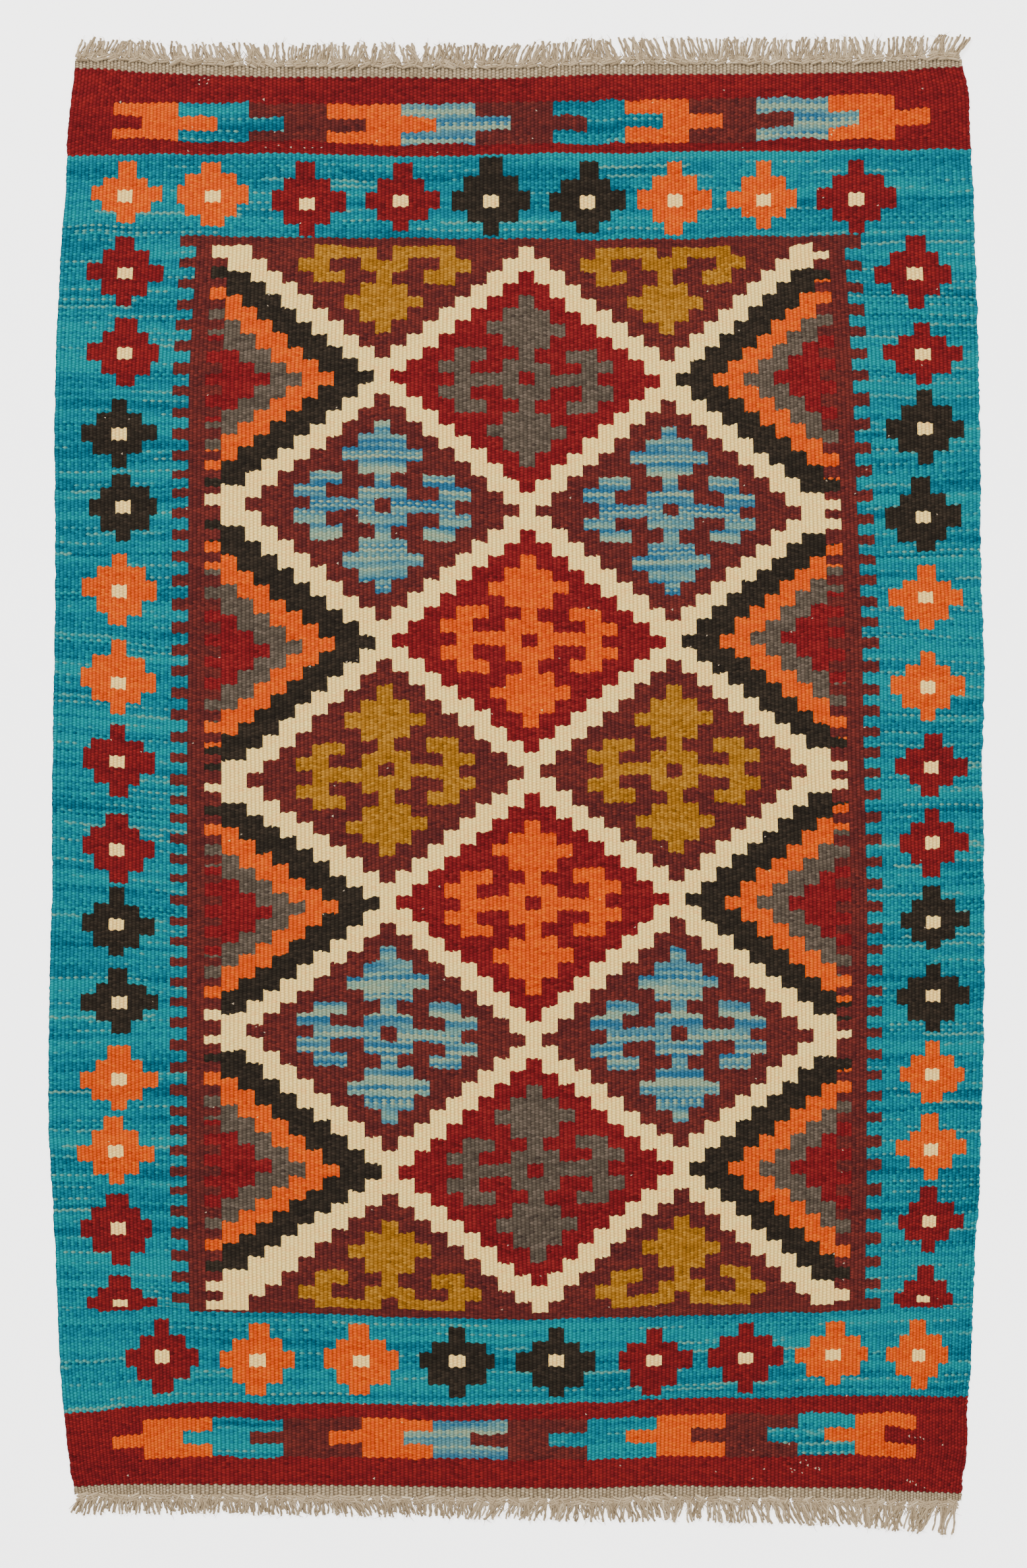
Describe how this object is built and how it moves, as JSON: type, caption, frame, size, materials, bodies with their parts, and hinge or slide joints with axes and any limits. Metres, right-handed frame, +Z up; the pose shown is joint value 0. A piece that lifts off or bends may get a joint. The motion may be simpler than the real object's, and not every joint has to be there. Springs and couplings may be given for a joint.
{
  "type": "kilim rug",
  "caption": "Small flat-woven kilim rug lying flat, a barrel-sided panel with fine warp ribs and a short knotted fringe at both ends.",
  "frame": {"origin": "centre of the rug's outline, on the underside that lies on the floor", "axes": "+X across the rug along its weft, +Y along its warp towards its upper end, +Z up through its thickness"},
  "size_m": [0.812, 1.2956, 0.0042],
  "materials": {
    "dyed_wool": "matt hand-spun wool",
    "undyed_warp": "matt undyed wool yarn"
  },
  "bodies": {
    "root": {"woven_panel": "dyed_wool", "fringe_top": "undyed_warp", "fringe_bottom": "undyed_warp"}
  },
  "joints": []
}
